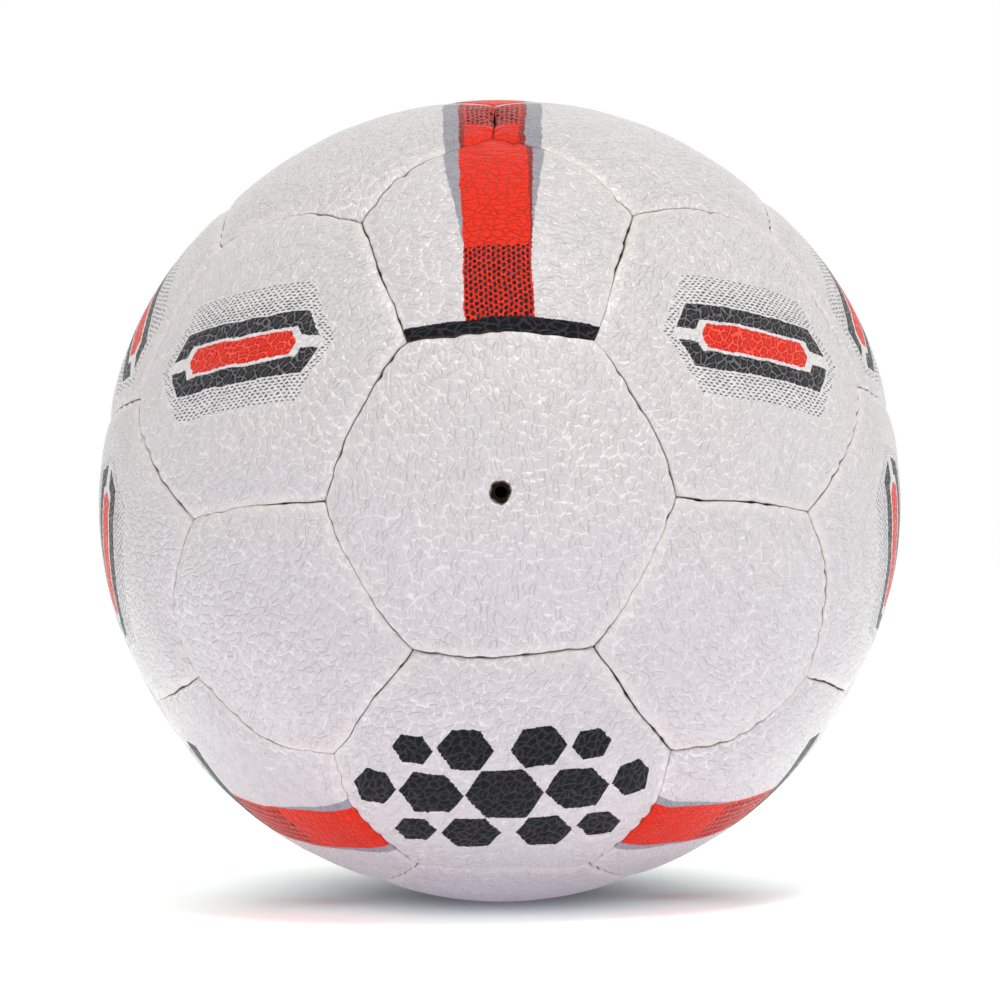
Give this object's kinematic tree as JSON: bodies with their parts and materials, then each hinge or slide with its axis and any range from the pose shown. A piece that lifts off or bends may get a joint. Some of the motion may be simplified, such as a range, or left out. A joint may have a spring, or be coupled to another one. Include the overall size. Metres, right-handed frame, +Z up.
{
  "type": "handball",
  "caption": "Hand-stitched youth handball: hexagonal and pentagonal leather panels, cloth lined, sewn over an inflated bladder with a plug valve.",
  "frame": {"origin": "centre of the ball", "axes": "-Y out through the valve, +Z up through the seam above the top pentagon, +X to the right seen from the valve"},
  "size_m": [0.1614, 0.1623, 0.162],
  "materials": {
    "cover_leather": "satin pebble grain",
    "lining_cloth": "plain weave",
    "waxed_thread": "waxed twist",
    "bladder_rubber": "matt",
    "valve_rubber": "matt",
    "plug_rubber": "matt"
  },
  "bodies": {
    "root": {"valve_panel": "cover_leather", "hex_panel_01": "cover_leather", "hex_panel_02": "cover_leather", "hex_panel_03": "cover_leather", "hex_panel_04": "cover_leather", "hex_panel_05": "cover_leather", "hex_panel_06": "cover_leather", "hex_panel_07": "cover_leather", "hex_panel_08": "cover_leather", "hex_panel_09": "cover_leather", "hex_panel_10": "cover_leather", "hex_panel_11": "cover_leather", "hex_panel_12": "cover_leather", "hex_panel_13": "cover_leather", "hex_panel_14": "cover_leather", "hex_panel_15": "cover_leather", "hex_panel_16": "cover_leather", "hex_panel_17": "cover_leather", "hex_panel_18": "cover_leather", "hex_panel_19": "cover_leather", "pent_panel_01": "cover_leather", "pent_panel_02": "cover_leather", "pent_panel_03": "cover_leather", "pent_panel_04": "cover_leather", "pent_panel_05": "cover_leather", "pent_panel_06": "cover_leather", "pent_panel_07": "cover_leather", "pent_panel_08": "cover_leather", "pent_panel_09": "cover_leather", "pent_panel_10": "cover_leather", "pent_panel_11": "cover_leather", "pent_panel_12": "cover_leather", "valve_lining": "lining_cloth", "hex_linings": "lining_cloth", "pent_linings": "lining_cloth", "hex_seam_threads": "waxed_thread", "pent_seam_threads": "waxed_thread", "bladder": "bladder_rubber", "valve_body": "valve_rubber", "valve_plug": "plug_rubber"}
  },
  "joints": []
}
